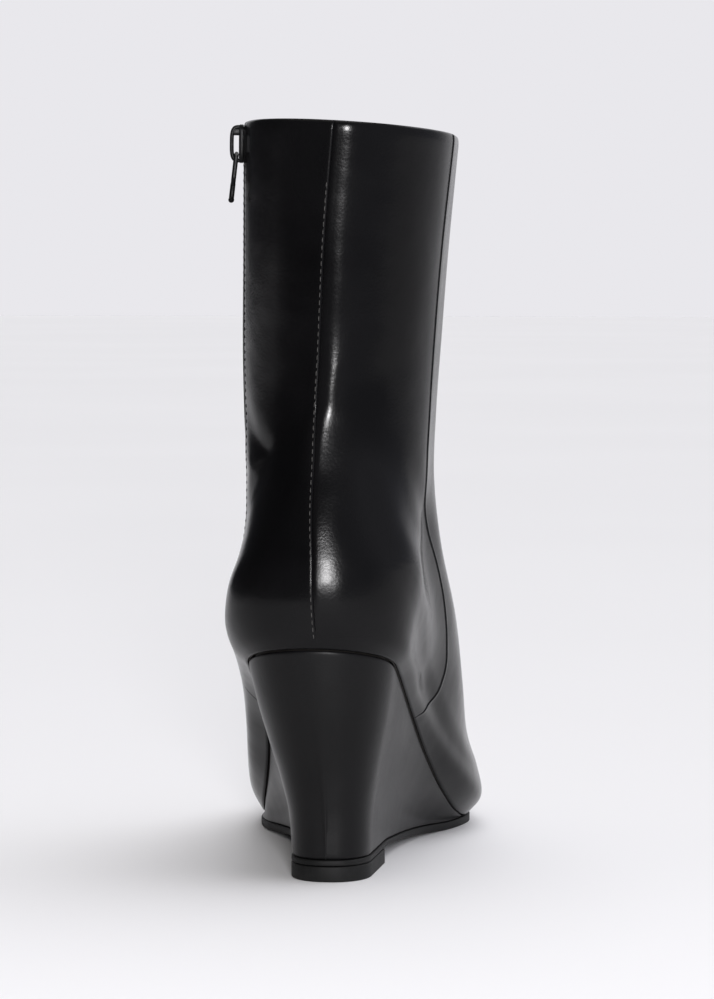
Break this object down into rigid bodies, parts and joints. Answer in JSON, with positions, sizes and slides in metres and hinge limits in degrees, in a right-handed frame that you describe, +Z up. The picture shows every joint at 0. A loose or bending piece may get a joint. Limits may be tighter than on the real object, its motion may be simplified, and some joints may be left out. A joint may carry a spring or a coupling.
{
  "type": "ankle boot",
  "caption": "Right ankle boot in smooth black leather with a slim shaft, a soft almond toe, a covered wedge heel and a zip on its inner side.",
  "frame": {"origin": "middle of the boot's bounding box, at the height of the floor that the top lift and the forefoot stand on", "axes": "+Z up, +Y from the heel towards the toe, +X towards the outer side of this right foot, so the zip is on the -X side"},
  "size_m": [0.0922, 0.2398, 0.2746],
  "materials": {
    "leather": "smooth black leather with a soft gloss",
    "heel_cover": "smooth black leather cover, satin",
    "sock": "dull dark sock lining",
    "sole": "matt black rubber",
    "tape": "woven black tape",
    "zip_metal": "black coated metal, glossy"
  },
  "bodies": {
    "boot": {"upper": "leather", "insole": "sock", "wedge": "heel_cover", "outsole": "sole", "top_lift": "sole", "zip_tape": "tape", "zip_chain": "zip_metal", "zip_slider": "zip_metal"},
    "zip_pull": {"zip_pull": "zip_metal"}
  },
  "joints": [
    {"name": "zip_pull_hinge", "type": "hinge", "parent": "boot", "child": "zip_pull", "pos_m": [-0.03345, -0.07595, 0.26278], "axis": [-0.1828, 0.9831, -0.0005], "range_deg": [-5, 159]}
  ]
}
